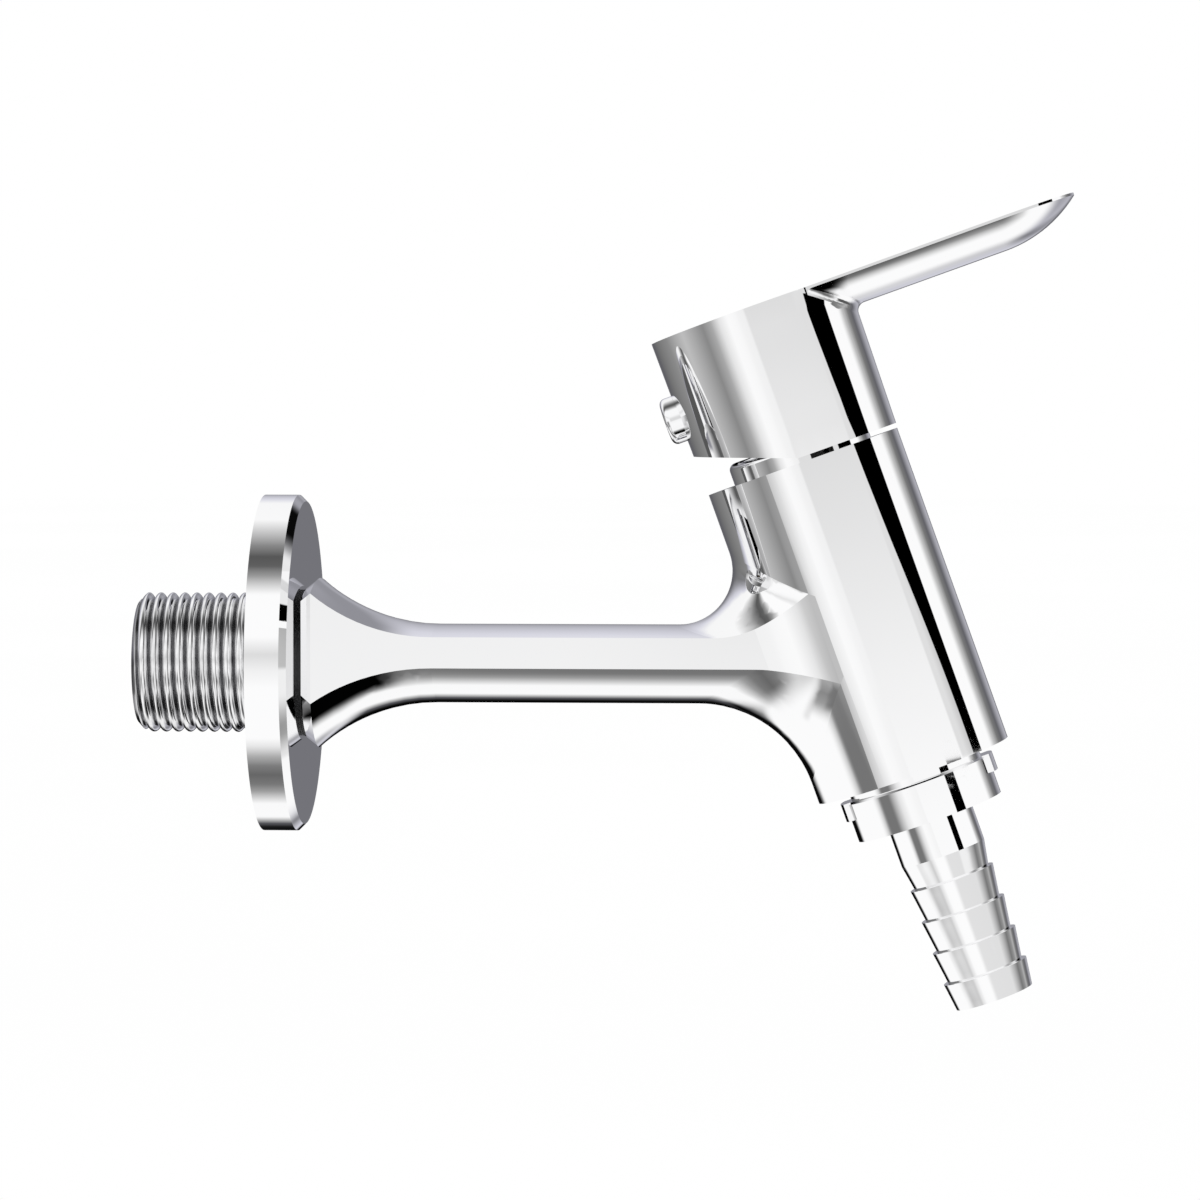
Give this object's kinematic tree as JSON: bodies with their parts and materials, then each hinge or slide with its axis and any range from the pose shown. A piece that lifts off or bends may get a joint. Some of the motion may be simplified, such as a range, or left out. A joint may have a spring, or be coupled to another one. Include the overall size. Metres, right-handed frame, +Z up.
{
  "type": "hose bib",
  "caption": "Wall-mounted hose tap with a crowned horizontal arm, a tilted round barrel, a lever handle on top and a barbed hose tail below.",
  "frame": {"origin": "centre of the flange's wall face, on the inlet's axis", "axes": "+X out of the wall along the arm, +Z up, +Y across, along the lever's pivot pin"},
  "size_m": [0.1397, 0.0504, 0.1218],
  "materials": {
    "chromed_brass": "polished chrome plate over brass",
    "chromed_zinc": "polished chrome plate over zinc casting",
    "chromed_plastic": "chrome-plated moulded plastic",
    "black_rubber": "moulded black rubber",
    "strainer_plastic": "moulded blue screen",
    "white_plastic": "moulded glass-filled plastic",
    "dark_plastic": "moulded acetal",
    "ceramic": "lapped alumina",
    "raw_brass": "turned brass",
    "steel": "stainless steel"
  },
  "bodies": {
    "tap": {"tap_body": "chromed_brass", "wall_flange": "chromed_brass", "wall_gasket": "black_rubber", "flange_o_ring": "black_rubber", "inlet_nipple": "chromed_brass", "inlet_strainer": "strainer_plastic", "port_seals": "black_rubber", "cartridge_base": "white_plastic", "fixed_disc": "ceramic", "cartridge_housing": "white_plastic", "cartridge_o_ring": "black_rubber", "stem_seal": "black_rubber", "retaining_nut": "chromed_brass", "outlet_washer": "black_rubber", "hose_nozzle": "chromed_brass", "nozzle_nut": "chromed_brass"},
    "swivel": {"stem_carrier": "dark_plastic", "pivot_pin": "steel"},
    "lever": {"lever_stem": "raw_brass", "lever_handle": "chromed_zinc", "set_screw": "steel", "index_plug": "chromed_plastic"},
    "disc": {"moving_disc": "ceramic", "disc_driver": "dark_plastic"}
  },
  "joints": [
    {"name": "handle_swivel", "type": "hinge", "parent": "tap", "child": "swivel", "pos_m": [0.0915, 0, 0], "axis": [-0.3387, 0, 0.9409], "range_deg": [-45, 45]},
    {"name": "lever_lift", "type": "hinge", "parent": "swivel", "child": "lever", "pos_m": [0.081, 0, 0.02917], "axis": [0, -1, 0], "range_deg": [0, 20]},
    {"name": "disc_slide", "type": "slide", "parent": "swivel", "child": "disc", "axis": [0.9409, 0, 0.3387], "range_m": [0, 0.0028]}
  ],
  "couplings": [
    {"joint": "disc_slide", "follows": "lever_lift", "m_per_rad": 0.0079}
  ]
}
